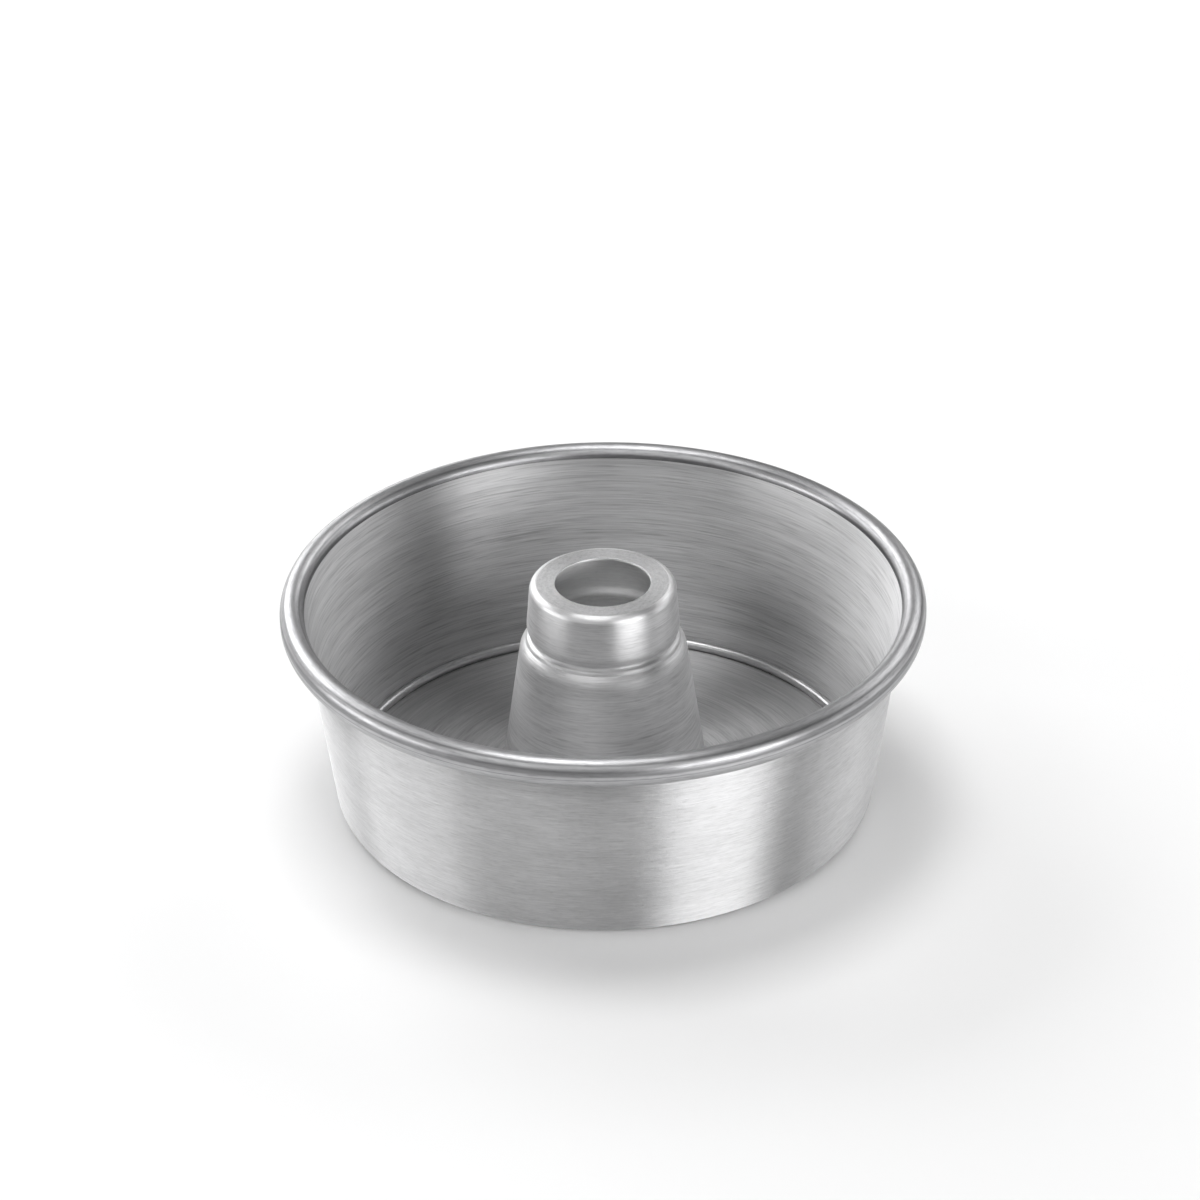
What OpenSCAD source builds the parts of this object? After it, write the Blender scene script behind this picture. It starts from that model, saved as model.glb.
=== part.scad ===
// Shallow angel food cake pan with a loose bottom, spun and drawn from aluminium sheet.
// Three pieces: the side wall with its rolled rim, the bottom disc, and the centre tube
// that is folded round the inner edge of the disc. The disc lies on a ledge turned in at
// the foot of the wall and lifts out upwards with its tube.
// Millimetres. The origin is the centre of the circle on which the pan stands, +Z is up.

/* [Side wall] */
// Outside diameter across the rolled rim
rim_d = 203.2; // [192:0.1:240]
// Height of the top of the rim above the table
pan_h = 71.1; // [55:0.1:100]
// Outside diameter across the rounded bottom corner
base_d = 173.6; // [150:0.1:180]
// Outside radius of the bottom corner
corner_r = 4.5; // [4:0.1:6]
// Thickness of the side wall's sheet
wall_gauge = 1.0; // [0.9:0.05:1.3]
// Width of the flat ledge that carries the bottom disc
ledge_w = 6.3; // [4:0.1:12]

/* [Rolled rim] */
// Width of the roll
roll_w = 7.6; // [6:0.1:9]
// Height of the roll
roll_h = 9.0; // [8.6:0.1:12]
// Gap between the edge of the rolled sheet and the wall
roll_gap = 0.3; // [0.1:0.05:0.6]

/* [Bottom disc] */
// Thickness of the disc's sheet
disc_gauge = 1.0; // [0.8:0.05:1.2]
// Air left between the disc and the ledge on which it lies
seat_gap = 0.02; // [0.01:0.01:0.1]
// Gap between the turned-up edge of the disc and the corner of the wall
edge_gap = 0.3; // [0.15:0.05:0.4]
// Slope at which the turned-up edge ends, in degrees from upright
edge_slope = 38; // [30:1:50]
// Length of the straight between the turned-up edge and the curl
edge_run = 0.2; // [0.2:0.05:0.4]
// Diameter of the curl round the edge of the disc
curl_d = 3.1; // [2.8:0.05:3.4]
// Gap between the tip of the curl and the floor of the pan
curl_gap = 0.3; // [0.15:0.05:0.5]

/* [Tube cap] */
// Height of the top of the tube above the table
tube_h = 74.0; // [70:0.1:100]
// Radius of the hole pierced in the top of the tube
hole_r = 15.1; // [10:0.1:17]
// Outside radius of the flat ring round the hole
ring_r = 20.9; // [19:0.1:22]
// Radius of the rounded edge of the cap
brim_r = 2.2; // [1.5:0.1:3]
// Slope at which the rounded edge ends, in degrees from upright
brim_slope = 25; // [12:1:40]
// Radius of the crease between the rounded edge and the side of the cap
crease_r = 1.0; // [0.95:0.05:1.5]
// Taper of the cap's side, in degrees from upright
cap_taper = 4.8; // [1:0.1:7]
// Height at which the cap's side begins to turn in
cap_base = 59.6; // [56:0.1:62]

/* [Tube neck] */
// Radius of the turn at the foot of the cap
tuck_r = 3.6; // [2:0.1:5]
// Slope of the sheet where it runs into the groove, in degrees from upright
tuck_slope = 36; // [15:1:45]
// Radius of the groove under the cap
groove_r = 0.9; // [0.6:0.1:1.6]
// Slope of the sheet where it leaves the groove, in degrees from upright
step_slope = 57; // [45:1:70]
// Radius of the small step below the groove
step_r = 1.4; // [1.2:0.1:2.4]
// Slope at the lower edge of the step, in degrees from upright
step_end = 16; // [8:1:30]
// Radius of the fine line pressed in below the step
line_r = 0.8; // [0.6:0.1:1.4]
// Slope at which the fine line ends and the shoulder begins, in degrees from upright
shoulder_slope = 44; // [36:1:56]
// Radius of the shoulder above the cone
shoulder_r = 6.0; // [4:0.1:8]
// Length of the short straight between one bend of the neck and the next
neck_run = 0.4; // [0.4:0.05:0.7]

/* [Tube foot] */
// Thickness of the tube's sheet
tube_gauge = 0.8; // [0.6:0.05:0.85]
// Outside diameter across the fold at the foot of the tube
foot_d = 66.8; // [60:0.1:74]
// Outside radius of the fold at the foot of the tube
foot_r = 1.6; // [1.2:0.1:2.4]
// Width of tube sheet lying on top of the disc
lap_w = 3.4; // [2:0.1:6]
// Width of tube sheet turned out under the disc
turn_w = 3.2; // [2:0.1:5]

/* [Hidden] */
$fn = 144;

// Each bend is made larger by this share, and turned a little further, so that it and the
// straight runs beside it overlap
proud = 0.001;
proud_turn = acos(1 - proud);

// A slope is the fall of a sheet in degrees from upright, positive where it falls outwards.
// Unit vectors square to the face of the sheet and down along it
function outward(slope) = [cos(slope), sin(slope)];
function downward(slope) = [sin(slope), -cos(slope)];

// A bend is [middle, radius, slope above, slope below]. The radius is that of the face which
// looks outward, negative where that face is hollow, and 0 for a plain end of the sheet.
function face(bend, slope) = bend[0] + bend[1] * outward(slope);

// Middle of the bend that follows another one after a straight of this length
function next_middle(bend, length, radius) =
    face(bend, bend[3]) + length * downward(bend[3]) - radius * outward(bend[3]);

// Slope of the straight that touches two rounds, from the upper one to the lower one
function touching_slope(upper, upper_r, lower, lower_r) =
    atan2(lower[0] - upper[0], upper[1] - lower[1])
    - asin((upper_r - lower_r) / norm(upper - lower));

// Side wall and roll, from the edge of the roll down to the ledge
roll_r = roll_w / 2;
hollow_r = roll_r - wall_gauge;
roll_top = [rim_d / 2 - roll_r, pan_h - roll_r];
roll_low = [rim_d / 2 - roll_r, pan_h - roll_h + roll_r];
corner = [base_d / 2 - corner_r, corner_r];
wall_slope = touching_slope(roll_top, -hollow_r, corner, corner_r);

// The lower half of the roll ends where its edge comes within the gap of the wall
room = hollow_r - roll_gap - (roll_h - roll_w) * sin(wall_slope);
roll_end = acos(room / roll_r) + proud_turn - 180 + wall_slope;
SHELL = [
    [roll_low, -hollow_r, roll_end - 180, -180],
    [roll_top, -hollow_r, -180, wall_slope],
    [corner, corner_r, wall_slope, -90],
    [[corner[0] - ledge_w, 0], 0, -90, -90]
];

// Bottom disc, from the tip of the curl down to the edge round the tube. The turned-up edge
// follows the corner of the wall.
disc_base = wall_gauge + seat_gap;
floor_top = disc_base + disc_gauge;
curl_r = curl_d / 2;
edge_r = corner_r - wall_gauge - edge_gap;
edge = [corner[0], disc_base + edge_r];
curl = edge + (edge_r - curl_r) * outward(-edge_slope) - edge_run * downward(-edge_slope);
curl_end = 180 + asin((curl[1] - floor_top - curl_gap) / curl_r) - proud_turn;

// Foot of the tube, and the fold round the edge of the disc
foot = [foot_d / 2 - foot_r, floor_top + foot_r];
fold_r = disc_gauge / 2;
fold = [foot[0] - lap_w, disc_base + fold_r];
DISC = [
    [curl, curl_r, curl_end, -edge_slope],
    [edge, edge_r, -edge_slope, -90],
    [[fold[0], disc_base], 0, -90, -90]
];

// Centre tube, from the pierced hole down to the edge turned out under the disc
brim = [[ring_r, tube_h - brim_r], brim_r, 90, brim_slope];
crease = [next_middle(brim, neck_run, crease_r), crease_r, brim_slope, cap_taper];
cap_top = face(crease, cap_taper);
cap_foot = cap_top + (cap_top[1] - cap_base) / cos(cap_taper) * downward(cap_taper);
tuck = [cap_foot - tuck_r * outward(cap_taper), tuck_r, cap_taper, -tuck_slope];
groove = [next_middle(tuck, neck_run, -groove_r), -groove_r, -tuck_slope, step_slope];
step = [next_middle(groove, neck_run, step_r), step_r, step_slope, step_end];
line = [next_middle(step, neck_run, -line_r), -line_r, step_end, shoulder_slope];
shoulder = next_middle(line, neck_run, shoulder_r);
cone_slope = touching_slope(shoulder, shoulder_r, foot, foot_r);
TUBE = [
    [[hole_r, tube_h], 0, 90, 90],
    brim,
    crease,
    tuck,
    groove,
    step,
    line,
    [shoulder, shoulder_r, shoulder_slope, cone_slope],
    [foot, foot_r, cone_slope, -90],
    [fold, -fold_r, -90, 90],
    [[fold[0] + turn_w, disc_base], 0, 90, 90]
];

// Length of sheet by which a bend and a run overlap
function overlap(bend, gauge) = bend[1] == 0 ? 0 : abs(bend[1] - gauge / 2) * sin(proud_turn);

// Rounded part of a sheet
module rounded(bend, gauge) {
    middle_r = abs(bend[1] - gauge / 2);
    inside = (1 + proud) * middle_r - gauge / 2;
    outside = inside + gauge;
    turn = bend[1] > 0 ? 0 : 180;
    from = min(bend[2], bend[3]) + turn - proud_turn;
    to = max(bend[2], bend[3]) + turn + proud_turn;
    steps = ceil((to - from) / 30);
    fan = [for (i = [0 : steps]) 1.1 * outside * outward(from + (to - from) * i / steps)];
    translate(bend[0]) intersection() {
        difference() {
            circle(outside);
            circle(inside);
        }
        polygon(concat([[0, 0]], fan));
    }
}

// Straight part of a sheet, from one bend to the next
module straight(upper, lower, gauge) {
    slope = upper[3];
    from = face(upper, slope) - overlap(upper, gauge) * downward(slope);
    to = face(lower, slope) + overlap(lower, gauge) * downward(slope);
    depth = gauge * outward(slope);
    polygon([from, from - depth, to - depth, to]);
}

// Round piece of sheet metal with these bends and the straight runs between them
module spun_sheet(bends, gauge) {
    rotate_extrude() {
        for (bend = bends) {
            if (bend[1] != 0) rounded(bend, gauge);
        }
        for (i = [1 : len(bends) - 1]) {
            straight(bends[i - 1], bends[i], gauge);
        }
    }
}

// Side wall: rolled rim, leaning wall, rounded corner and ledge
module pan_shell() {
    color([0.74, 0.75, 0.76]) spun_sheet(SHELL, wall_gauge);
}

// Bottom disc: flat floor with its edge turned up and curled inwards
module bottom_disc() {
    color([0.66, 0.67, 0.68]) spun_sheet(DISC, disc_gauge);
}

// Centre tube: pierced cap, grooved neck, cone and folded foot
module centre_tube() {
    color([0.78, 0.79, 0.80]) spun_sheet(TUBE, tube_gauge);
}

pan_shell();
bottom_disc();
centre_tube();
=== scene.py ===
"""Blender scene of a shallow angel food cake pan with a loose bottom.

The pan is three pieces of spun and drawn aluminium sheet: the side wall with its rolled rim,
the bottom disc with its curled edge, and the centre tube that is folded round the inner edge
of the disc. Each piece is turned from a section made of bends and straight runs, in the same
sizes as the solids. Lengths in the dataclasses are millimetres unless a name says otherwise.
"""

import logging
import math
from dataclasses import dataclass, field
from enum import Enum
from typing import Callable, Sequence

import bmesh
import bpy
from mathutils import Matrix, Vector

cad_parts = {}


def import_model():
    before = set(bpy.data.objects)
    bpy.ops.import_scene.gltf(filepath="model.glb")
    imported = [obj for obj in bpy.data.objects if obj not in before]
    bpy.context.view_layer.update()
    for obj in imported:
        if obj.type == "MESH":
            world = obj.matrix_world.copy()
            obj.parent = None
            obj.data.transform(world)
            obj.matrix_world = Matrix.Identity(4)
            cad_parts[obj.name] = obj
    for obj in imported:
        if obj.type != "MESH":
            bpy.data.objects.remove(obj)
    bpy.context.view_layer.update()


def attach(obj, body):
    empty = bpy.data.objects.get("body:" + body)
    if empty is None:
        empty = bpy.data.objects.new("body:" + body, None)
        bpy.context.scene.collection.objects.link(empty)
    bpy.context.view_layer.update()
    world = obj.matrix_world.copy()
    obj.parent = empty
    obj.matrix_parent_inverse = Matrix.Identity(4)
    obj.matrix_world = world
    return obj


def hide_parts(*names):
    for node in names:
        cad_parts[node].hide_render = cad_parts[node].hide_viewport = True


LOG = logging.getLogger("cake_pan")
MM = 0.001

# A quarter turn of the gloss, which stretches it across the lines that run round the axis
ACROSS_THE_LINES = 0.25
# Colour of the painted dark reflection rings round the rolled rim. It also darkens the thin lines
# that a forming roller leaves there
PAINTED_REFLECTION_AND_ROLLER_SHADE = (0.03, 0.03, 0.032, 1.0)
# Angles of the points that round a cut edge of the sheet
EDGE_ANGLES = (0, 30, 60, 90)

Point = tuple[float, float]
Color = tuple[float, float, float]
Sockets = dict[str, bpy.types.NodeSocket]


class Finish(Enum):
    """The surface finishes that a part of the pan can have."""

    SPUN_OUTSIDE = "spun_outside"
    SPUN_INSIDE = "spun_inside"
    BURNISHED = "burnished_rim"
    FLOOR = "turned_floor"
    BEAD = "curled_bead"
    DRAWN_TUBE = "drawn_tube"
    PIERCED_RING = "pierced_ring"
    TUBE_INSIDE = "dull_tube_inside"
    UNDERSIDE = "dull_underside"


# Sections of sheet metal. A slope is the fall of a sheet in degrees from upright, positive
# where it falls outwards. Points and vectors of a section have a radial and an upright part.


def outward(slope: float) -> Point:
    """Return the unit vector square to a sheet with this slope."""
    return math.cos(math.radians(slope)), math.sin(math.radians(slope))


def downward(slope: float) -> Point:
    """Return the unit vector down along a sheet with this slope."""
    return math.sin(math.radians(slope)), -math.cos(math.radians(slope))


def moved(start: Point, *steps: tuple[float, Point]) -> Point:
    """Return a point moved by several steps.

    Args:
        start: The point to begin from.
        steps: Pairs of a length and the unit vector it is measured along.

    Returns:
        The moved point.
    """
    r, z = start
    for length, (dr, dz) in steps:
        r += length * dr
        z += length * dz
    return r, z


def touching_slope(upper: Point, upper_r: float, lower: Point, lower_r: float) -> float:
    """Return the slope of the straight that touches two rounds.

    Args:
        upper: Middle of the upper round.
        upper_r: Its radius, negative where the face is hollow.
        lower: Middle of the lower round.
        lower_r: Its radius, negative where the face is hollow.

    Returns:
        The slope in degrees from upright.
    """
    line = math.atan2(lower[0] - upper[0], upper[1] - lower[1])
    turn = math.asin((upper_r - lower_r) / math.dist(upper, lower))
    return math.degrees(line - turn)


@dataclass(frozen=True)
class Bend:
    """A bend of a sheet, or a plain end of it where the radius is zero.

    Attributes:
        middle: Middle of the round.
        radius: Radius of the face that looks outward, negative where that face is hollow.
        above: Slope at the upper end of the bend.
        below: Slope at its lower end.
    """

    middle: Point
    radius: float
    above: float
    below: float

    def face(self, slope: float, depth: float = 0.0) -> Point:
        """Return the point with this slope, so far below the face of the sheet."""
        return moved(self.middle, (self.radius - depth, outward(slope)))

    def next_middle(self, length: float, radius: float) -> Point:
        """Return the middle of the bend that follows after a straight.

        Args:
            length: Length of the straight between the two bends.
            radius: Radius of the next bend.

        Returns:
            The middle of the next bend.
        """
        return moved(
            self.face(self.below),
            (length, downward(self.below)),
            (-radius, outward(self.below)),
        )

    def then(self, length: float, radius: float, below: float) -> "Bend":
        """Return the bend that follows after a straight of this length."""
        return Bend(self.next_middle(length, radius), radius, self.below, below)


@dataclass(frozen=True)
class SheetSection:
    """Section of one sheet: its bends from the upper end to the lower, and its thickness.

    Attributes:
        bends: The bends, the first and the last of which are plain ends.
        gauge: Thickness of the sheet.
        degrees_per_step: Turn of a bend between one point and the next.
        run_step: Distance between the points of a straight.
        short_run: Length below which a straight needs no points of its own.
        beside_bend: Distance from a bend to the first point of a straight.
        edge_round: Radius of a cut edge.
    """

    bends: tuple[Bend, ...]
    gauge: float
    degrees_per_step: float = 5.0
    run_step: float = 4.0
    short_run: float = 1.2
    beside_bend: float = 0.35
    edge_round: float = 0.16

    def _side(self, depth: float) -> list[Point]:
        """Return the points along one face of the sheet, from the upper end to the lower.

        Args:
            depth: How far below the outer face these points lie.

        Returns:
            The points in the section.
        """
        points: list[Point] = []
        for index, bend in enumerate(self.bends):
            if index:
                points.extend(self._run(self.bends[index - 1], bend, depth))
            points.extend(self._round(bend, depth))
        return points

    def _round(self, bend: Bend, depth: float) -> list[Point]:
        """Return the points of one bend.

        Args:
            bend: The bend, or the plain end of the sheet.
            depth: How far below the outer face these points lie.

        Returns:
            The points in the section.
        """
        sweep = bend.below - bend.above
        steps = max(4, math.ceil(abs(sweep) / self.degrees_per_step)) if sweep else 0
        if not steps:
            return [bend.face(bend.above, depth)]
        return [bend.face(bend.above + sweep * i / steps, depth) for i in range(steps + 1)]

    def _run(self, upper: Bend, lower: Bend, depth: float) -> list[Point]:
        """Return the points between two bends, closer together beside the bends.

        Args:
            upper: The bend above the straight.
            lower: The bend below it.
            depth: How far below the outer face these points lie.

        Returns:
            The points in the section, without those of the bends.
        """
        start = upper.face(upper.below, depth)
        end = lower.face(lower.above, depth)
        length = math.dist(start, end)
        if length < self.short_run:
            return []
        near = self.beside_bend / length
        count = max(1, round(length / self.run_step))
        shares = [near] + [i / count for i in range(1, count)] + [1 - near]
        return [
            (start[0] + (end[0] - start[0]) * s, start[1] + (end[1] - start[1]) * s)
            for s in shares
        ]

    def _rounded_edge(self, first: Point, second: Point, along: Point) -> list[Point]:
        """Return the points round one cut edge of the sheet.

        Args:
            first: The sharp corner that is reached first.
            second: The sharp corner on the other face.
            along: Unit vector along the sheet and out over the edge.

        Returns:
            Points that round both corners.
        """
        across = (
            (second[0] - first[0]) / self.gauge,
            (second[1] - first[1]) / self.gauge,
        )
        r = self.edge_round
        turns = [(math.sin(math.radians(a)), math.cos(math.radians(a))) for a in EDGE_ANGLES]
        enter = [moved(first, (r * (s - 1), along), (r * (1 - c), across)) for s, c in turns]
        leave = [moved(second, (r * (c - 1), along), (r * (s - 1), across)) for s, c in turns]
        return enter + leave

    def outline(self) -> list[Point]:
        """Return the closed outline of the section: down the face and back up behind it.

        Returns:
            The points of the outline.
        """
        front = self._side(0.0)
        back = self._side(self.gauge)
        low = downward(self.bends[-1].below)
        high = downward(self.bends[0].above)
        low_edge = self._rounded_edge(front[-1], back[-1], low)
        high_edge = self._rounded_edge(back[0], front[0], (-high[0], -high[1]))
        return front[1:-1] + low_edge + back[-2:0:-1] + high_edge


@dataclass(frozen=True)
class Spot:
    """Where a face of a turned piece lies.

    Attributes:
        r: Distance from the axis.
        z: Height above the table.
        outlook: How far it looks away from the axis, from -1, towards it, to 1, away from it.
    """

    r: float
    z: float
    outlook: float


@dataclass(frozen=True)
class Lathe:
    """Turns a closed outline about the upright axis into a mesh."""

    segments: int = 360

    def turn(
        self,
        name: str,
        outline: Sequence[Point],
        materials: dict[Finish, bpy.types.Material],
        finish_at: Callable[[Spot], Finish],
    ) -> bpy.types.Object:
        """Make the turned mesh object.

        Args:
            name: Name of the new piece.
            outline: Closed outline of the section in millimetres.
            materials: The materials of the piece, by finish.
            finish_at: Gives the finish of a spot.

        Returns:
            The new object, linked to the scene.
        """
        rows = len(outline)
        verts = [
            (r * MM * math.cos(turn), r * MM * math.sin(turn), z * MM)
            for turn in (2 * math.pi * i / self.segments for i in range(self.segments))
            for r, z in outline
        ]
        faces = [
            (
                i * rows + j,
                i * rows + (j + 1) % rows,
                (i + 1) % self.segments * rows + (j + 1) % rows,
                (i + 1) % self.segments * rows + j,
            )
            for i in range(self.segments)
            for j in range(rows)
        ]
        mesh = bpy.data.meshes.new(name)
        mesh.from_pydata(verts, [], faces)
        self._face_outwards(mesh)
        for material in materials.values():
            mesh.materials.append(material)
        places = {finish: place for place, finish in enumerate(materials)}
        for polygon in mesh.polygons:
            polygon.use_smooth = True
            polygon.material_index = places[finish_at(self._spot(polygon))]
        mesh.update()
        piece = bpy.data.objects.new(name, mesh)
        bpy.context.scene.collection.objects.link(piece)
        return piece

    @staticmethod
    def _spot(polygon: bpy.types.MeshPolygon) -> Spot:
        """Return where a face lies.

        Args:
            polygon: The face of the mesh.

        Returns:
            The spot.
        """
        x, y, z = polygon.center
        reach = math.hypot(x, y)
        outlook = (polygon.normal.x * x + polygon.normal.y * y) / reach
        return Spot(reach / MM, z / MM, outlook)

    @staticmethod
    def _face_outwards(mesh: bpy.types.Mesh) -> None:
        """Turn all normals of a closed mesh outwards.

        Args:
            mesh: The mesh to change.
        """
        work = bmesh.new()
        work.from_mesh(mesh)
        bmesh.ops.recalc_face_normals(work, faces=work.faces)
        work.to_mesh(mesh)
        work.free()


# Shader building blocks


class NodeBench:
    """Adds nodes to one node tree and links them."""

    # Places of a Mix node's colour sockets, whose names its other sockets have too
    MIX_SHARE, MIX_FIRST, MIX_SECOND, MIX_RESULT = 0, 6, 7, 2
    NODE_SPACING = 180

    def __init__(self, tree: bpy.types.NodeTree) -> None:
        """Keep the tree and empty it.

        Args:
            tree: The tree of a material, a world or a node group.
        """
        self.tree = tree
        tree.nodes.clear()
        self._column = 0

    def add(self, kind: str, **settings: object) -> bpy.types.Node:
        """Add a node.

        Args:
            kind: Blender's name for the type of node.
            settings: Attributes of the node to set.

        Returns:
            The new node.
        """
        node = self.tree.nodes.new(kind)
        node.location = (self.NODE_SPACING * self._column, 0)
        self._column += 1
        for key, value in settings.items():
            setattr(node, key, value)
        return node

    def feed(self, socket: bpy.types.NodeSocket, source: object) -> None:
        """Link a socket to an output, or set its value.

        Args:
            socket: The input socket.
            source: An output socket, or a plain value.
        """
        if isinstance(source, bpy.types.NodeSocket):
            self.tree.links.new(source, socket)
        else:
            socket.default_value = source

    def place(self) -> tuple[bpy.types.NodeSocket, ...]:
        """Add the nodes that read a place on the piece.

        Returns:
            The x, y and z of the place.
        """
        parts = self.add("ShaderNodeSeparateXYZ")
        self.feed(parts.inputs[0], self.add("ShaderNodeTexCoord").outputs["Object"])
        return tuple(parts.outputs)

    def math(self, operation: str, *inputs: object, clamp: bool = False) -> bpy.types.NodeSocket:
        """Add a Math node.

        Args:
            operation: The operation's name.
            inputs: Values or output sockets.
            clamp: Whether the result is held between 0 and 1.

        Returns:
            The result.
        """
        node = self.add("ShaderNodeMath", operation=operation, use_clamp=clamp)
        for socket, source in zip(node.inputs, inputs):
            self.feed(socket, source)
        return node.outputs[0]

    def add_up(
        self, start: float, *steps: tuple[bpy.types.NodeSocket, float], clamp: bool = False
    ) -> bpy.types.NodeSocket:
        """Add several marks to a value, each by its share.

        Args:
            start: The value to begin from.
            steps: Pairs of a mark, from 0 to 1, and its share.
            clamp: Whether the result is held between 0 and 1.

        Returns:
            The sum.
        """
        total: object = start
        for mark, share in steps:
            total = self.math("MULTIPLY_ADD", mark, share, total, clamp=clamp)
        return total

    def spread(self, value: object, low: float, high: float) -> bpy.types.NodeSocket:
        """Spread a range of a value over 0 to 1, and hold what lies outside it.

        Args:
            value: Value or output socket.
            low: Start of the range, which becomes 0.
            high: End of the range, which becomes 1.

        Returns:
            The new value.
        """
        node = self.add("ShaderNodeMapRange", clamp=True)
        for name, source in (("Value", value), ("From Min", low), ("From Max", high)):
            self.feed(node.inputs[name], source)
        return node.outputs["Result"]

    def blend(self, share: object, first: object, second: object) -> bpy.types.NodeSocket:
        """Mix two colours.

        Args:
            share: How much of the second colour shows.
            first: First colour or output socket.
            second: Second colour or output socket.

        Returns:
            The mixed colour.
        """
        node = self.add("ShaderNodeMix", data_type="RGBA", blend_type="MIX")
        self.feed(node.inputs[self.MIX_SHARE], share)
        self.feed(node.inputs[self.MIX_FIRST], first)
        self.feed(node.inputs[self.MIX_SECOND], second)
        return node.outputs[self.MIX_RESULT]

    def noise(
        self,
        vector: bpy.types.NodeSocket,
        scale: object,
        detail: float = 2.0,
        roughness: float = 0.5,
        w: object = None,
    ) -> bpy.types.NodeSocket:
        """Add a noise texture.

        Args:
            vector: Where the noise is read.
            scale: Scale of the noise.
            detail: Number of finer layers.
            roughness: Strength of the finer layers.
            w: Fourth coordinate, or nothing for plain 3D noise.

        Returns:
            The noise value.
        """
        node = self.add("ShaderNodeTexNoise", noise_dimensions="3D" if w is None else "4D")
        self.feed(node.inputs["Vector"], vector)
        self.feed(node.inputs["Scale"], scale)
        self.feed(node.inputs["Detail"], detail)
        self.feed(node.inputs["Roughness"], roughness)
        if w is not None:
            self.feed(node.inputs["W"], w)
        return node.outputs["Fac"]


class ShaderGroup:
    """A node group with named inputs and outputs, built once and used by many materials."""

    name = "group"
    inputs: tuple[tuple[str, float], ...] = ()
    outputs: tuple[str, ...] = ()

    def tree(self) -> bpy.types.NodeTree:
        """Return the group's node tree, and build it where it doesn't exist yet.

        Returns:
            The tree.
        """
        found = bpy.data.node_groups.get(self.name)
        if found:
            return found
        tree = bpy.data.node_groups.new(self.name, "ShaderNodeTree")
        for label, default in self.inputs:
            socket = tree.interface.new_socket(
                name=label, in_out="INPUT", socket_type="NodeSocketFloat"
            )
            socket.default_value = default
        for label in self.outputs:
            tree.interface.new_socket(
                name=label, in_out="OUTPUT", socket_type="NodeSocketFloat"
            )
        bench = NodeBench(tree)
        entry = bench.add("NodeGroupInput")
        results = self.wire(bench, entry)
        leave = bench.add("NodeGroupOutput")
        for label, result in results.items():
            bench.feed(leave.inputs[label], result)
        return tree

    def wire(self, bench: NodeBench, entry: bpy.types.Node) -> Sockets:
        """Wire the inside of the group from its input node, and return its outputs by name."""
        raise NotImplementedError

    def place(self, bench: NodeBench, **values: float) -> Sockets:
        """Place the group in a material.

        Args:
            bench: Bench of the material's tree.
            values: Values of the group's inputs, with underscores for spaces.

        Returns:
            The group's outputs by name.
        """
        node = bench.add("ShaderNodeGroup", node_tree=self.tree())
        for label, value in values.items():
            bench.feed(node.inputs[label.replace("_", " ")], value)
        return {socket.name: socket for socket in node.outputs}


class TurningMarks(ShaderGroup):
    """Fine lines that a turning tool or a brush leaves round the axis of a spun sheet."""

    name = "turning_marks"
    inputs = (("Lines per metre", 1500.0), ("Breaks per turn", 4.0), ("Bands per metre", 160.0))
    outputs = ("Lines", "Dashes", "Bands")

    # Least distance from the axis, in metres, so that nothing is divided by zero on it
    axis_guard = 0.0001
    # Dashes break this many times as often as the lines
    dash_breaks = 3.0
    # Bands hardly change round the axis
    band_breaks = 0.6
    # Strength of the finer layers of the noise
    fine_layers = 0.6
    # Range of the noise over which lines and bands fade in, and the same for dashes
    line_range = (0.3, 0.7)
    dash_range = (0.5, 0.72)

    def wire(self, bench: NodeBench, entry: bpy.types.Node) -> Sockets:
        """Build the lines from noise that is stretched round the axis.

        Args:
            bench: Bench of the group's tree.
            entry: The group's input node.

        Returns:
            Fine lines, broken dashes and broad bands, each from 0 to 1.
        """
        x, y, z = bench.place()
        square = bench.math("ADD", bench.math("MULTIPLY", x, x), bench.math("MULTIPLY", y, y))
        reach = bench.math("SQRT", square)
        safe = bench.math("MAXIMUM", reach, self.axis_guard)
        east = bench.math("DIVIDE", x, safe)
        north = bench.math("DIVIDE", y, safe)

        def ring_noise(turn: object, pitch: object, detail: float) -> bpy.types.NodeSocket:
            """Add noise that changes slowly round the axis and fast across it.

            Args:
                turn: How often the noise changes round the axis.
                pitch: How often it changes in a metre across the lines.
                detail: Number of finer layers.

            Returns:
                The noise value.
            """
            spot = bench.add("ShaderNodeCombineXYZ")
            bench.feed(spot.inputs[0], bench.math("MULTIPLY", east, turn))
            bench.feed(spot.inputs[1], bench.math("MULTIPLY", north, turn))
            bench.feed(spot.inputs[2], bench.math("MULTIPLY", reach, pitch))
            height = bench.math("MULTIPLY", z, pitch)
            return bench.noise(spot.outputs[0], 1.0, detail, self.fine_layers, w=height)

        lines = ring_noise(entry.outputs["Breaks per turn"], entry.outputs["Lines per metre"], 3.0)
        broken = bench.math("MULTIPLY", entry.outputs["Breaks per turn"], self.dash_breaks)
        dashes = ring_noise(broken, entry.outputs["Lines per metre"], 1.0)
        bands = ring_noise(self.band_breaks, entry.outputs["Bands per metre"], 2.0)
        return {
            "Lines": bench.spread(lines, *self.line_range),
            "Dashes": bench.spread(dashes, *self.dash_range),
            "Bands": bench.spread(bands, *self.line_range),
        }


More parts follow.
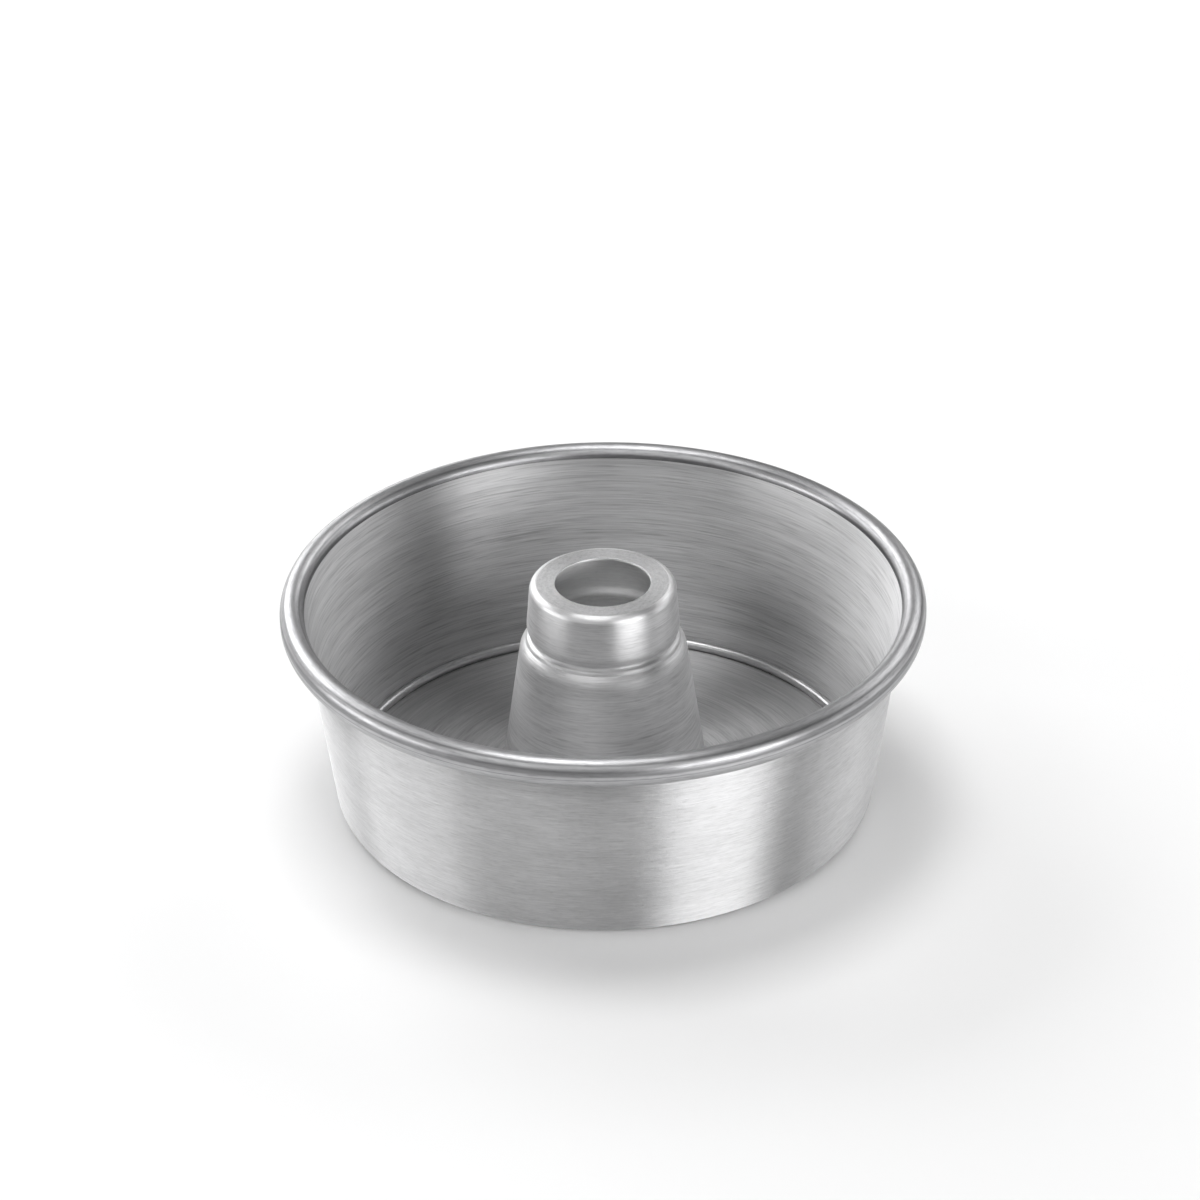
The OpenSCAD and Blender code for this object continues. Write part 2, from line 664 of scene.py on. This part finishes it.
class HandlingMarks(ShaderGroup):
    """Faint smudges of handling and a slow unevenness of the spun sheet."""

    name = "handling_marks"
    inputs = (("Smudge scale", 22.0), ("Unevenness scale", 16.0))
    outputs = ("Smudge", "Unevenness")

    # Range of the noise over which smudges fade in
    smudge_range = (0.42, 0.72)

    def wire(self, bench: NodeBench, entry: bpy.types.Node) -> Sockets:
        """Build the marks from noise.

        Args:
            bench: Bench of the group's tree.
            entry: The group's input node.

        Returns:
            Smudge and unevenness, each from 0 to 1.
        """
        place = bench.add("ShaderNodeTexCoord").outputs["Object"]
        smudge = bench.noise(place, entry.outputs["Smudge scale"], 3.0, 0.55)
        return {
            "Smudge": bench.spread(smudge, *self.smudge_range),
            "Unevenness": bench.noise(place, entry.outputs["Unevenness scale"], 1.0, 0.4),
        }


class RingMask(ShaderGroup):
    """A ring round the axis between two heights, such as a painted reflection ring on the rim."""

    name = "ring_mask"
    inputs = (("Low", 0.066), ("High", 0.069), ("Fade", 0.0003))
    outputs = ("Mask",)

    def wire(self, bench: NodeBench, entry: bpy.types.Node) -> Sockets:
        """Build the ring from the height above the table.

        Args:
            bench: Bench of the group's tree.
            entry: The group's input node.

        Returns:
            The mask, 1 inside the ring and 0 outside it.
        """
        height = bench.place()[2]
        fade = entry.outputs["Fade"]
        above = bench.math("DIVIDE", bench.math("SUBTRACT", height, entry.outputs["Low"]), fade)
        below = bench.math("DIVIDE", bench.math("SUBTRACT", entry.outputs["High"], height), fade)
        above = bench.math("ADD", above, 1.0, clamp=True)
        below = bench.math("ADD", below, 1.0, clamp=True)
        return {"Mask": bench.math("MULTIPLY", above, below)}


@dataclass(frozen=True)
class PaintedReflectionAndRollerLine:
    """A darker ring painted round a turned sheet: painted reflection of the dark room, and in the
    thin rings also the line that a forming roller leaves.

    Attributes:
        low: Height of its lower edge above the table.
        high: Height of its upper edge.
        fade: Distance over which it fades out above and below.
        strength: How much of it shows, from 0 to 1.
    """

    low: float
    high: float
    fade: float
    strength: float


@dataclass(frozen=True)
class AluminiumFinish:
    """A finish of bare aluminium, and how its turning marks and wear show.

    Attributes:
        color: Colour of the metal between the marks.
        shade: Colour of the metal in the marks.
        roughness: Middle roughness.
        roughness_swing: How far the roughness varies with the marks.
        anisotropy: How far the gloss is stretched across the lines.
        lines_per_metre: How closely the fine lines lie.
        breaks_per_turn: How often a line changes on its way round the axis.
        bands_per_metre: How closely the broad bands lie.
        line_share: How far the fine lines darken the metal.
        dash_share: How far the broken dashes darken it.
        band_share: How far the broad bands darken it.
        line_depth: Relief of the fine lines in millimetres.
        dash_depth: Relief of the dashes in millimetres.
        unevenness: Slow relief of the sheet in millimetres.
        smudges: How far the smudges of handling show.
        painted_reflections_and_roller_lines: Darker rings of painted reflection, the thin ones
            also roller lines, if any.
    """

    color: Color = (0.72, 0.72, 0.725)
    shade: Color = (0.36, 0.36, 0.365)
    roughness: float = 0.30
    roughness_swing: float = 0.10
    anisotropy: float = 0.75
    lines_per_metre: float = 1500.0
    breaks_per_turn: float = 10.0
    bands_per_metre: float = 160.0
    line_share: float = 0.4
    dash_share: float = 0.25
    band_share: float = 0.25
    line_depth: float = 0.05
    dash_depth: float = 0.02
    unevenness: float = 0.2
    smudges: float = 0.06
    painted_reflections_and_roller_lines: tuple[PaintedReflectionAndRollerLine, ...] = ()

    def build(self, name: str) -> bpy.types.Material:
        """Make the material of this finish.

        Args:
            name: Name of the material.

        Returns:
            The material.
        """
        material = bpy.data.materials.new(name)
        material.use_nodes = True
        bench = NodeBench(material.node_tree)
        marks = HandlingMarks().place(bench) | TurningMarks().place(
            bench,
            Lines_per_metre=self.lines_per_metre,
            Breaks_per_turn=self.breaks_per_turn,
            Bands_per_metre=self.bands_per_metre,
        )
        metal = bench.add("ShaderNodeBsdfPrincipled")
        metal.inputs["Metallic"].default_value = 1.0
        metal.inputs["Anisotropic"].default_value = self.anisotropy
        metal.inputs["Anisotropic Rotation"].default_value = ACROSS_THE_LINES
        grain = bench.add("ShaderNodeTangent", direction_type="RADIAL", axis="Z")
        bench.feed(metal.inputs["Tangent"], grain.outputs[0])
        bench.feed(metal.inputs["Base Color"], self._tint(bench, marks))
        bench.feed(metal.inputs["Roughness"], self._rough(bench, marks))
        bench.feed(metal.inputs["Normal"], self._relief(bench, marks))
        out = bench.add("ShaderNodeOutputMaterial")
        bench.feed(out.inputs["Surface"], metal.outputs[0])
        return material

    def _tint(self, bench: NodeBench, marks: Sockets) -> bpy.types.NodeSocket:
        """Shade the metal a little darker in the marks, and paint dark reflection rings round the
        rim.

        Args:
            bench: Bench of the material's tree.
            marks: The turning marks and the handling marks.

        Returns:
            The colour.
        """
        share = bench.add_up(
            0.0,
            (marks["Lines"], self.line_share),
            (marks["Dashes"], self.dash_share),
            (marks["Bands"], self.band_share),
            (marks["Smudge"], self.smudges),
            clamp=True,
        )
        tint = bench.blend(share, (*self.color, 1.0), (*self.shade, 1.0))
        # Painted reflection: rings darkened where the roll would reflect the dark room; the thin
        # rings are also roller lines.
        for mark in self.painted_reflections_and_roller_lines:
            ring = RingMask().place(
                bench, Low=mark.low * MM, High=mark.high * MM, Fade=mark.fade * MM
            )
            depth = bench.math("MULTIPLY", ring["Mask"], mark.strength)
            tint = bench.blend(depth, tint, PAINTED_REFLECTION_AND_ROLLER_SHADE)
        return tint

    def _rough(self, bench: NodeBench, marks: Sockets) -> bpy.types.NodeSocket:
        """Let the roughness follow the marks.

        Args:
            bench: Bench of the material's tree.
            marks: The turning marks and the handling marks.

        Returns:
            The roughness.
        """
        return bench.add_up(
            self.roughness - self.roughness_swing / 2,
            (marks["Lines"], self.roughness_swing),
            (marks["Bands"], self.roughness_swing / 2),
            (marks["Smudge"], self.smudges),
            clamp=True,
        )

    def _relief(self, bench: NodeBench, marks: Sockets) -> bpy.types.NodeSocket:
        """Cut the marks into the surface.

        Args:
            bench: Bench of the material's tree.
            marks: The turning marks and the handling marks.

        Returns:
            The normal.
        """
        height = bench.add_up(
            0.0,
            (marks["Lines"], self.line_depth),
            (marks["Dashes"], self.dash_depth),
            (marks["Unevenness"], self.unevenness),
        )
        bump = bench.add("ShaderNodeBump")
        bump.inputs["Strength"].default_value = 1.0
        bump.inputs["Distance"].default_value = MM
        bench.feed(bump.inputs["Height"], height)
        return bump.outputs[0]


RECIPES: dict[Finish, AluminiumFinish] = {
    Finish.SPUN_OUTSIDE: AluminiumFinish(
        color=(0.71, 0.71, 0.715),
        shade=(0.46, 0.46, 0.465),
        roughness=0.46,
        anisotropy=1.0,
        lines_per_metre=2200.0,
        breaks_per_turn=14.0,
        dash_share=0.2,
        band_share=0.15,
    ),
    Finish.SPUN_INSIDE: AluminiumFinish(
        # Lighter than the outside of the same sheet: painted light for the brighter inside of the
        # pan.
        color=(0.86, 0.86, 0.865),
        shade=(0.52, 0.52, 0.525),
        roughness=0.52,
        anisotropy=0.92,
        lines_per_metre=2000.0,
        breaks_per_turn=2.5,
        bands_per_metre=220.0,
        dash_share=0.45,
        band_share=0.35,
        dash_depth=0.03,
    ),
    Finish.BURNISHED: AluminiumFinish(
        # Darker than the wall of the same sheet: painted shade that stands in for the dark
        # reflections in the roll.
        color=(0.54, 0.54, 0.55),
        shade=(0.28, 0.28, 0.287),
        roughness=0.36,
        roughness_swing=0.08,
        anisotropy=0.5,
        bands_per_metre=420.0,
        band_share=0.4,
        line_depth=0.01,
        dash_depth=0.0,
        unevenness=0.1,
        # Painted reflection rings: the broad middle one stands in for the dark room reflected in
        # the roll. The two thin ones are roller lines, darkened further as painted reflection.
        painted_reflections_and_roller_lines=(
            PaintedReflectionAndRollerLine(70.1, 70.35, 0.15, 0.3),
            PaintedReflectionAndRollerLine(67.2, 68.5, 0.55, 0.5),
            PaintedReflectionAndRollerLine(65.75, 65.95, 0.15, 0.3),
        ),
    ),
    Finish.FLOOR: AluminiumFinish(
        # Darker than the bead of the same sheet: painted shade for the dim back wall that the
        # floor reflects.
        color=(0.56, 0.56, 0.565),
        shade=(0.30, 0.30, 0.305),
        roughness=0.5,
        anisotropy=0.88,
        breaks_per_turn=2.5,
        bands_per_metre=260.0,
        band_share=0.35,
        line_depth=0.07,
    ),
    Finish.BEAD: AluminiumFinish(
        color=(0.84, 0.84, 0.845),
        shade=(0.46, 0.46, 0.465),
        roughness=0.3,
        roughness_swing=0.06,
        anisotropy=0.5,
        bands_per_metre=420.0,
        band_share=0.4,
        line_depth=0.01,
        dash_depth=0.0,
    ),
    Finish.DRAWN_TUBE: AluminiumFinish(
        color=(0.84, 0.84, 0.845),
        shade=(0.48, 0.48, 0.485),
        roughness=0.43,
        roughness_swing=0.08,
        anisotropy=0.8,
        lines_per_metre=1800.0,
        breaks_per_turn=2.0,
        band_share=0.35,
        line_depth=0.025,
    ),
    Finish.PIERCED_RING: AluminiumFinish(
        # Darker than the tube's side of the same sheet: painted shade for what the flat ring
        # reflects.
        color=(0.64, 0.64, 0.645),
        shade=(0.32, 0.32, 0.325),
        roughness=0.46,
        roughness_swing=0.08,
        anisotropy=0.5,
        lines_per_metre=1200.0,
        breaks_per_turn=8.0,
        line_depth=0.02,
    ),
    Finish.TUBE_INSIDE: AluminiumFinish(
        # Near white, lighter than the outside of the tube: painted light for light bouncing inside
        # the tube.
        color=(0.99, 0.99, 0.99),
        shade=(0.80, 0.80, 0.805),
        roughness=0.6,
        anisotropy=0.5,
        breaks_per_turn=3.0,
        line_depth=0.02,
    ),
    Finish.UNDERSIDE: AluminiumFinish(
        color=(0.90, 0.90, 0.905),
        shade=(0.60, 0.60, 0.605),
        roughness=0.42,
        anisotropy=0.8,
        line_depth=0.03,
    ),
}


class FinishBook:
    """Builds the material of each finish once and hands it out."""

    def __init__(self) -> None:
        """Begin with no material made."""
        self._made: dict[Finish, bpy.types.Material] = {}

    def get(self, finish: Finish) -> bpy.types.Material:
        """Return the material of a finish.

        Args:
            finish: Which finish is wanted.

        Returns:
            The material, built on first use.
        """
        if finish not in self._made:
            self._made[finish] = RECIPES[finish].build(finish.value)
        return self._made[finish]

    def get_all(self, *finishes: Finish) -> dict[Finish, bpy.types.Material]:
        """Return the materials of these finishes, in the order asked for."""
        return {finish: self.get(finish) for finish in finishes}


# The three pieces


@dataclass
class PanShell:
    """The side wall: ledge, rounded corner, leaning wall and rolled rim.

    Attributes:
        rim_d: Outside diameter across the rolled rim.
        pan_h: Height of the top of the rim above the table.
        base_d: Outside diameter across the rounded bottom corner.
        corner_r: Outside radius of the bottom corner.
        gauge: Thickness of the sheet.
        ledge_w: Width of the flat ledge that carries the bottom disc.
        roll_w: Width of the roll.
        roll_h: Height of the roll.
        roll_gap: Gap between the edge of the rolled sheet and the wall.
        wall_strip: Width of the plain wall that shows beside the burnished roll.
    """

    rim_d: float = 203.2
    pan_h: float = 71.1
    base_d: float = 173.6
    corner_r: float = 4.5
    gauge: float = 1.0
    ledge_w: float = 6.3
    roll_w: float = 7.6
    roll_h: float = 9.0
    roll_gap: float = 0.3
    wall_strip: float = 1.2

    @property
    def corner(self) -> Point:
        """Middle of the rounded bottom corner."""
        return self.base_d / 2 - self.corner_r, self.corner_r

    def section(self) -> SheetSection:
        """Return the section of the wall, from the edge of the roll down to the ledge.

        Returns:
            The section.
        """
        roll_r = self.roll_w / 2
        hollow = roll_r - self.gauge
        top = (self.rim_d / 2 - roll_r, self.pan_h - roll_r)
        low = (top[0], self.pan_h - self.roll_h + roll_r)
        slope = touching_slope(top, -hollow, self.corner, self.corner_r)
        drop = (self.roll_h - self.roll_w) * math.sin(math.radians(slope))
        room = hollow - self.roll_gap - drop
        roll_end = math.degrees(math.acos(room / roll_r)) - 360 + slope
        end = (self.corner[0] - self.ledge_w, 0.0)
        bends = (
            Bend(low, -hollow, roll_end, -180),
            Bend(top, -hollow, -180, slope),
            Bend(self.corner, self.corner_r, slope, -90),
            Bend(end, 0, -90, -90),
        )
        return SheetSection(bends, self.gauge)

    def build(self, book: FinishBook, lathe: Lathe) -> bpy.types.Object:
        """Make the wall and dress it.

        Args:
            book: Gives the materials.
            lathe: Turns the section.

        Returns:
            The finished piece.
        """
        materials = book.get_all(
            Finish.SPUN_OUTSIDE, Finish.SPUN_INSIDE, Finish.BURNISHED, Finish.UNDERSIDE
        )
        burnished_from = self.rim_d / 2 - self.roll_w + self.wall_strip
        roll_middle = self.pan_h - self.roll_w / 2
        roll_foot = self.pan_h - self.roll_h

        def finish_at(spot: Spot) -> Finish:
            """Choose burnished with painted shade and reflection rings for the roll, and spun for
            the two sides of the wall, the inside with painted light.

            Args:
                spot: Where the face lies.

            Returns:
                The finish at this place.
            """
            if spot.z > roll_middle or (spot.r > burnished_from and spot.z > roll_foot):
                return Finish.BURNISHED
            if spot.r < self.corner[0] and spot.z < self.gauge:
                return Finish.UNDERSIDE
            return Finish.SPUN_OUTSIDE if spot.outlook > 0 else Finish.SPUN_INSIDE

        piece = lathe.turn("side_wall", self.section().outline(), materials, finish_at)
        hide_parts("pan_shell")
        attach(piece, "pan")
        return piece


@dataclass
class BottomDisc:
    """The loose bottom: a flat floor with a turned-up and curled edge.

    Attributes:
        shell: The wall on whose ledge the disc lies.
        gauge: Thickness of the sheet.
        seat_gap: Air left between the disc and the ledge.
        edge_gap: Gap between the turned-up edge and the corner of the wall.
        edge_slope: Slope at which the turned-up edge ends, in degrees from upright.
        edge_run: Length of the straight between the turned-up edge and the curl.
        curl_d: Diameter of the curl.
        curl_gap: Gap between the tip of the curl and the floor.
        inner_r: Radius of the edge that the tube is folded round.
        bead_margin: How far inside the corner of the wall the bead's finish begins.
        bead_lift: How far above the floor it begins.
        skin: Depth below the upper face at which the dull finish begins.
    """

    shell: PanShell
    gauge: float = 1.0
    seat_gap: float = 0.02
    edge_gap: float = 0.3
    edge_slope: float = 38.0
    edge_run: float = 0.2
    curl_d: float = 3.1
    curl_gap: float = 0.3
    inner_r: float = 28.4
    bead_margin: float = 0.5
    bead_lift: float = 0.05
    skin: float = 0.1

    @property
    def base(self) -> float:
        """Height of the floor's lower face."""
        return self.shell.gauge + self.seat_gap

    @property
    def floor_top(self) -> float:
        """Height of the floor's upper face."""
        return self.base + self.gauge

    def section(self) -> SheetSection:
        """Return the section of the disc, from the tip of the curl to its inner edge.

        Returns:
            The section.
        """
        curl_r = self.curl_d / 2
        edge_r = self.shell.corner_r - self.shell.gauge - self.edge_gap
        edge = (self.shell.corner[0], self.base + edge_r)
        curl = moved(
            edge,
            (edge_r - curl_r, outward(-self.edge_slope)),
            (-self.edge_run, downward(-self.edge_slope)),
        )
        tip = (curl[1] - self.floor_top - self.curl_gap) / curl_r
        bends = (
            Bend(curl, curl_r, 180 + math.degrees(math.asin(tip)), -self.edge_slope),
            Bend(edge, edge_r, -self.edge_slope, -90),
            Bend((self.inner_r, self.base), 0, -90, -90),
        )
        return SheetSection(bends, self.gauge, degrees_per_step=7.0)

    def build(self, book: FinishBook, lathe: Lathe) -> bpy.types.Object:
        """Make the disc and dress it.

        Args:
            book: Gives the materials.
            lathe: Turns the section.

        Returns:
            The finished piece.
        """
        materials = book.get_all(Finish.FLOOR, Finish.BEAD, Finish.UNDERSIDE)
        bead_from = self.shell.corner[0] - self.bead_margin

        def finish_at(spot: Spot) -> Finish:
            """Choose the bead's finish for the curl and a dull one for the underside.

            Args:
                spot: Where the face lies.

            Returns:
                The finish at this place.
            """
            if spot.r > bead_from and spot.z > self.floor_top + self.bead_lift:
                return Finish.BEAD
            return Finish.UNDERSIDE if spot.z < self.floor_top - self.skin else Finish.FLOOR

        piece = lathe.turn("lift_out_floor", self.section().outline(), materials, finish_at)
        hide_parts("bottom_disc")
        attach(piece, "lift_out_bottom")
        return piece


@dataclass
class CentreTube:
    """The centre tube: pierced cap, grooved neck, cone and folded foot.

    Attributes:
        disc: The disc that the foot is folded round.
        gauge: Thickness of the sheet.
        tube_h: Height of the top of the tube above the table.
        hole_r: Radius of the pierced hole.
        ring_r: Outside radius of the flat ring round the hole.
        brim_r: Radius of the rounded edge of the cap.
        brim_slope: Slope at which the rounded edge ends, in degrees from upright.
        crease_r: Radius of the crease between the rounded edge and the cap's side.
        cap_taper: Taper of the cap's side, in degrees from upright.
        cap_base: Height at which the cap's side begins to turn in.
        tuck_r: Radius of the turn at the foot of the cap.
        tuck_slope: Slope at which the sheet runs into the groove.
        groove_r: Radius of the groove under the cap.
        step_slope: Slope at which the sheet leaves the groove.
        step_r: Radius of the small step below the groove.
        step_end: Slope at the lower edge of the step.
        line_r: Radius of the fine line pressed in below the step.
        shoulder_slope: Slope at which the shoulder begins.
        shoulder_r: Radius of the shoulder above the cone.
        neck_run: Length of the straight between one bend of the neck and the next.
        foot_d: Outside diameter across the fold at the foot.
        foot_r: Outside radius of that fold.
        turn_w: Width of the sheet turned out under the disc.
        top_skin: Depth below the top at which the flat ring's finish ends.
        inside_margin: How far inside the flat ring the dull inside begins under the cap.
        inside_outlook: Outlook below which a face belongs to the inside.
    """

    disc: BottomDisc
    gauge: float = 0.8
    tube_h: float = 74.0
    hole_r: float = 15.1
    ring_r: float = 20.9
    brim_r: float = 2.2
    brim_slope: float = 25.0
    crease_r: float = 1.0
    cap_taper: float = 4.8
    cap_base: float = 59.6
    tuck_r: float = 3.6
    tuck_slope: float = 36.0
    groove_r: float = 0.9
    step_slope: float = 57.0
    step_r: float = 1.4
    step_end: float = 16.0
    line_r: float = 0.8
    shoulder_slope: float = 44.0
    shoulder_r: float = 6.0
    neck_run: float = 0.4
    foot_d: float = 66.8
    foot_r: float = 1.6
    turn_w: float = 3.2
    top_skin: float = 0.2
    inside_margin: float = 1.0
    inside_outlook: float = -0.05

    def section(self) -> SheetSection:
        """Return the section of the tube, from the pierced hole to the folded edge.

        Returns:
            The section.
        """
        brim = Bend((self.ring_r, self.tube_h - self.brim_r), self.brim_r, 90, self.brim_slope)
        crease = brim.then(self.neck_run, self.crease_r, self.cap_taper)
        cap_top = crease.face(self.cap_taper)
        side = (cap_top[1] - self.cap_base) / math.cos(math.radians(self.cap_taper))
        cap_foot = moved(cap_top, (side, downward(self.cap_taper)))
        tuck = Bend(
            moved(cap_foot, (-self.tuck_r, outward(self.cap_taper))),
            self.tuck_r,
            self.cap_taper,
            -self.tuck_slope,
        )
        groove = tuck.then(self.neck_run, -self.groove_r, self.step_slope)
        step = groove.then(self.neck_run, self.step_r, self.step_end)
        line = step.then(self.neck_run, -self.line_r, self.shoulder_slope)
        shoulder = line.next_middle(self.neck_run, self.shoulder_r)
        foot = (self.foot_d / 2 - self.foot_r, self.disc.floor_top + self.foot_r)
        fold_r = self.disc.gauge / 2
        fold = (self.disc.inner_r, self.disc.base + fold_r)
        cone = touching_slope(shoulder, self.shoulder_r, foot, self.foot_r)
        bends = (
            Bend((self.hole_r, self.tube_h), 0, 90, 90),
            brim,
            crease,
            tuck,
            groove,
            step,
            line,
            Bend(shoulder, self.shoulder_r, self.shoulder_slope, cone),
            Bend(foot, self.foot_r, cone, -90),
            Bend(fold, -fold_r, -90, 90),
            Bend((fold[0] + self.turn_w, self.disc.base), 0, 90, 90),
        )
        return SheetSection(bends, self.gauge, degrees_per_step=6.0, run_step=6.0)

    def build(self, book: FinishBook, lathe: Lathe) -> bpy.types.Object:
        """Make the tube and dress it.

        Args:
            book: Gives the materials.
            lathe: Turns the section.

        Returns:
            The finished piece.
        """
        materials = book.get_all(
            Finish.DRAWN_TUBE, Finish.TUBE_INSIDE, Finish.UNDERSIDE, Finish.PIERCED_RING
        )

        def finish_at(spot: Spot) -> Finish:
            """Choose dull finishes inside the tube, whose colour is painted light, and below the
            floor, and the ring's finish with painted shade on top.

            Args:
                spot: Where the face lies.

            Returns:
                The finish at this place.
            """
            if spot.z < self.disc.floor_top:
                return Finish.UNDERSIDE
            if spot.z > self.tube_h - self.top_skin and spot.r < self.ring_r:
                return Finish.PIERCED_RING
            inside_r = self.ring_r - self.inside_margin
            under_cap = spot.z < self.tube_h - self.gauge / 2 and spot.r < inside_r
            inside = spot.outlook < self.inside_outlook or under_cap
            return Finish.TUBE_INSIDE if inside else Finish.DRAWN_TUBE

        piece = lathe.turn("fixed_tube", self.section().outline(), materials, finish_at)
        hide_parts("centre_tube")
        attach(piece, "lift_out_bottom")
        return piece


# Camera, floor and lamps


@dataclass
class PhotoCamera:
    """The camera of the photograph, as fitted to the pan's outlines.

    Attributes:
        elevation_deg: How far the camera looks down.
        distance: Distance from the aim point.
        aim_height: Height of the aim point on the axis.
        focal_px: Focal length in pixels of the photograph.
        aim_px: Where the aim point shows in the photograph.
        roll_deg: How far the camera is tilted sideways.
        frame_px: Width and height of the photograph in pixels.
        sensor: Width of the sensor.
        clip_m: Nearest and farthest distance that is seen.
    """

    elevation_deg: float = 31.993
    distance: float = 1193.8
    aim_height: float = 30.48
    focal_px: float = 3729.65
    aim_px: tuple[float, float] = (604.10, 699.53)
    roll_deg: float = 0.683
    frame_px: float = 1200.0
    sensor: float = 36.0
    clip_m: tuple[float, float] = (0.01, 50.0)

    def build(self) -> bpy.types.Object:
        """Make the camera and set it as the scene's camera.

        Returns:
            The camera object.
        """
        tilt = math.radians(self.elevation_deg)
        ahead = Vector((0.0, math.cos(tilt), -math.sin(tilt)))
        right = Vector((1.0, 0.0, 0.0))
        up = Vector((0.0, math.sin(tilt), math.cos(tilt)))
        level = Matrix((right, up, ahead))
        centre = self.frame_px / 2
        sight = Vector(
            (
                (self.aim_px[0] - centre) / self.focal_px,
                -(self.aim_px[1] - centre) / self.focal_px,
                1.0,
            )
        ).normalized()
        roll = Matrix.Rotation(math.radians(self.roll_deg), 3, "Z")
        swing = Vector((0.0, 0.0, 1.0)).rotation_difference(sight).to_matrix()
        view = swing @ roll @ level
        lens = bpy.data.cameras.new("photo_camera")
        lens.sensor_fit = "HORIZONTAL"
        lens.sensor_width = self.sensor
        lens.lens = self.focal_px / self.frame_px * self.sensor
        lens.clip_start, lens.clip_end = self.clip_m
        camera = bpy.data.objects.new("photo_camera", lens)
        axes = Matrix((view[0], view[1], -view[2])).transposed().to_4x4()
        spot = (Vector((0.0, 0.0, self.aim_height)) - self.distance * ahead) * MM
        camera.matrix_world = Matrix.Translation(spot) @ axes
        bpy.context.scene.collection.objects.link(camera)
        bpy.context.scene.camera = camera
        return camera


@dataclass(frozen=True)
class Softbox:
    """An even rectangular lamp that hangs round the pan and looks at it.

    Attributes:
        name: Name of the lamp.
        azimuth_deg: Its direction, from the camera's side towards the right.
        elevation_deg: How high it hangs.
        distance_m: Its distance from the aim point.
        width_m: Width of its face.
        height_m: Height of its face.
        brightness: Brightness of its face, whatever its size.
        aim_height_m: Height of the aim point on the axis of the pan.
    """

    name: str
    azimuth_deg: float
    elevation_deg: float
    distance_m: float
    width_m: float
    height_m: float
    brightness: float
    aim_height_m: float = 0.04

    def build(self) -> bpy.types.Object:
        """Make the lamp.

        Returns:
            The lamp object.
        """
        lamp = bpy.data.lights.new(self.name, "AREA")
        lamp.shape = "RECTANGLE"
        lamp.size = self.width_m
        lamp.size_y = self.height_m
        lamp.energy = self.brightness * self.width_m * self.height_m * math.pi
        turn = math.radians(self.azimuth_deg)
        rise = math.radians(self.elevation_deg)
        away = Vector(
            (
                math.sin(turn) * math.cos(rise),
                -math.cos(turn) * math.cos(rise),
                math.sin(rise),
            )
        )
        holder = bpy.data.objects.new(self.name, lamp)
        holder.location = away * self.distance_m + Vector((0.0, 0.0, self.aim_height_m))
        holder.rotation_euler = away.to_track_quat("Z", "Y").to_euler()
        holder.visible_camera = False
        bpy.context.scene.collection.objects.link(holder)
        return holder


@dataclass
class Studio:
    """The pale floor, the dim room and the lamps.

    Attributes:
        floor_half_m: Half the width of the floor.
        floor_drop: How far the floor lies below the foot of the pan, so that they don't touch.
        floor_color: Colour of the floor.
        room: Brightness of the room.
        lamps: The lamps.
    """

    floor_half_m: float = 2.5
    floor_drop: float = 0.3
    floor_color: Color = (0.92, 0.92, 0.92)
    room: float = 0.12
    lamps: tuple[Softbox, ...] = field(
        default_factory=lambda: (
            Softbox("left_low", -77, 9, 1.8, 1.5, 0.6, 4.3),
            Softbox("left_back_low", -158, 15, 1.8, 1.1, 0.6, 2.6),
            Softbox("left_back", -137, 34, 1.8, 1.3, 0.9, 3.9),
            Softbox("right_back", 142, 34, 1.8, 1.3, 0.8, 2.2),
            Softbox("right_side", 96, 10, 1.8, 1.05, 0.6, 2.3),
            Softbox("right_front", 40, 9, 1.65, 1.15, 0.57, 8.4),
            Softbox("front_left_high", -35, 40, 1.95, 1.35, 0.9, 1.5),
            Softbox("over_camera", 5, 50, 2.1, 0.9, 0.9, 1.3),
            Softbox("key", -150, 80, 1.95, 0.75, 0.75, 8.0),
        )
    )

    def build(self) -> None:
        """Make the floor, the world and the lamps, and show colours as they are."""
        self._floor()
        self._world()
        for lamp in self.lamps:
            lamp.build()
        bpy.context.scene.view_settings.view_transform = "Standard"

    def _floor(self) -> None:
        """Make the floor of white paper."""
        half = self.floor_half_m
        mesh = bpy.data.meshes.new("floor")
        height = -self.floor_drop * MM
        corners = ((-half, -half), (half, -half), (half, half), (-half, half))
        mesh.from_pydata([(x, y, height) for x, y in corners], [], [(0, 1, 2, 3)])
        floor = bpy.data.objects.new("floor", mesh)
        bpy.context.scene.collection.objects.link(floor)
        material = bpy.data.materials.new("floor_paper")
        material.use_nodes = True
        bench = NodeBench(material.node_tree)
        paper = bench.add("ShaderNodeBsdfDiffuse")
        paper.inputs["Color"].default_value = (*self.floor_color, 1.0)
        out = bench.add("ShaderNodeOutputMaterial")
        bench.feed(out.inputs["Surface"], paper.outputs[0])
        mesh.materials.append(material)

    def _world(self) -> None:
        """Make a dim even room."""
        world = bpy.data.worlds.new("room")
        bpy.context.scene.world = world
        world.use_nodes = True
        bench = NodeBench(world.node_tree)
        air = bench.add("ShaderNodeBackground")
        air.inputs["Strength"].default_value = self.room
        out = bench.add("ShaderNodeOutputWorld")
        bench.feed(out.inputs["Surface"], air.outputs[0])


def main() -> None:
    """Build the pan and its studio."""
    logging.basicConfig(level=logging.INFO, format="%(name)s: %(message)s")
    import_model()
    PhotoCamera().build()
    book = FinishBook()
    lathe = Lathe()
    shell = PanShell()
    disc = BottomDisc(shell)
    tube = CentreTube(disc)
    for maker in (shell, disc, tube):
        piece = maker.build(book, lathe)
        LOG.info("%s: %d faces", piece.name, len(piece.data.polygons))
    Studio().build()


if __name__ == "__main__":
    main()
